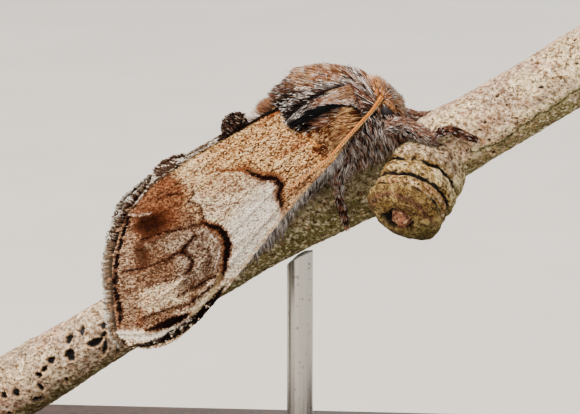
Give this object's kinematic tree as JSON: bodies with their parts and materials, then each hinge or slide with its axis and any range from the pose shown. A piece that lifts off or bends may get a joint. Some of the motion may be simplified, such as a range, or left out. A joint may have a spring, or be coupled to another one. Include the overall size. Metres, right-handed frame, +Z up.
{
  "type": "moth model on display stand",
  "caption": "Life-size pebble prominent moth at rest with folded wings on a short cut length of twig, held by a plain display stand.",
  "frame": {"origin": "centre of the model's bounding box, at the underside of the stand's base", "axes": "+X along the base and towards the moth's head, +Z up; the moth's right side faces -Y"},
  "size_m": [0.045, 0.026, 0.0312],
  "materials": {
    "bark": "matt, finely cracked",
    "forewing_scales": "matt overlapping scales",
    "hindwing_scales": "matt scales",
    "thorax_fur": "long soft fur",
    "abdomen_fur": "soft fur",
    "leg_fur": "short fur",
    "antenna_orange": "satin, horny",
    "eye_black": "glossy",
    "stand_wood": "satin, dark stained",
    "stand_steel": "brushed"
  },
  "bodies": {
    "root": {"perch_twig": "bark", "thorax": "thorax_fur", "head": "thorax_fur", "abdomen": "abdomen_fur", "forewing_right": "forewing_scales", "forewing_left": "forewing_scales", "hindwing_right": "hindwing_scales", "hindwing_left": "hindwing_scales", "antenna_right": "antenna_orange", "antenna_left": "antenna_orange", "eye_right": "eye_black", "eye_left": "eye_black", "foreleg_right": "leg_fur", "foreleg_left": "leg_fur", "midleg_right": "leg_fur", "midleg_left": "leg_fur", "hindleg_right": "leg_fur", "hindleg_left": "leg_fur", "stand_base": "stand_wood", "stand_rod": "stand_steel"}
  },
  "joints": []
}
